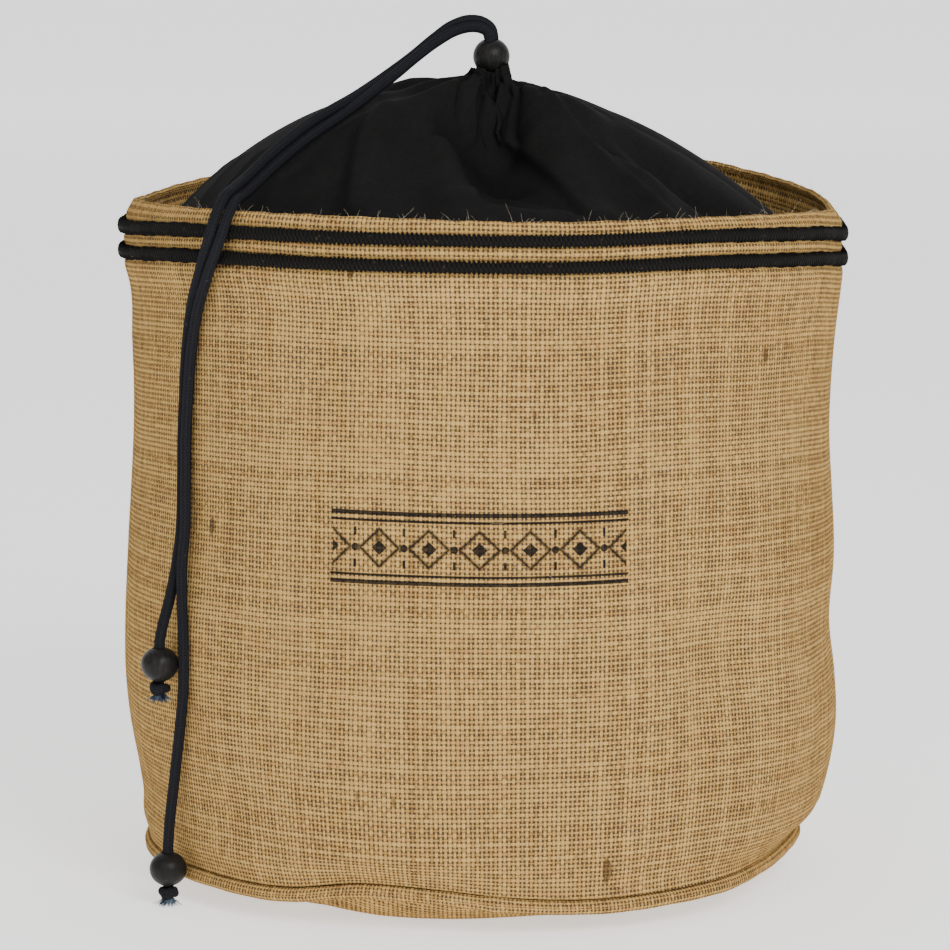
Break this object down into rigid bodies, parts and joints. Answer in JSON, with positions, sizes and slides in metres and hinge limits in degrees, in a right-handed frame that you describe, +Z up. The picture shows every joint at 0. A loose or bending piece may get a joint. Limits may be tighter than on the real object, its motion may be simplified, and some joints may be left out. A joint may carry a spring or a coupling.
{
  "type": "hessian storage sack with a drawstring closure",
  "caption": "Upright round hessian storage sack with a piped base seam, black cords round its rim and a black cotton drawstring cone held shut by a wooden toggle bead.",
  "frame": {"origin": "under the middle of the sack, on the flat of its base that it stands on", "axes": "+Z up the sack, -Y towards its front, +X to its right seen from the front"},
  "size_m": [0.2996, 0.2996, 0.3523],
  "materials": {
    "hessian": "coarse plain-woven jute, matt",
    "black_cotton": "fine plain-woven cotton, matt",
    "black_cord": "twisted cotton cord, matt",
    "navy_cord": "knitted cotton cord, matt",
    "black_wood": "black stained wood, satin",
    "frayed_ends": "frayed cotton fibres, matt"
  },
  "bodies": {
    "root": {"sack_wall": "hessian", "base_panel": "hessian", "base_piping": "hessian", "rim_cord_upper": "black_cord", "rim_cord_lower": "black_cord", "closure": "black_cotton", "toggle_bead": "black_wood", "drawcord_short": "navy_cord", "drawcord_long": "navy_cord", "bead_short": "black_wood", "bead_long": "black_wood", "knot_short": "frayed_ends", "knot_long": "frayed_ends"}
  },
  "joints": []
}
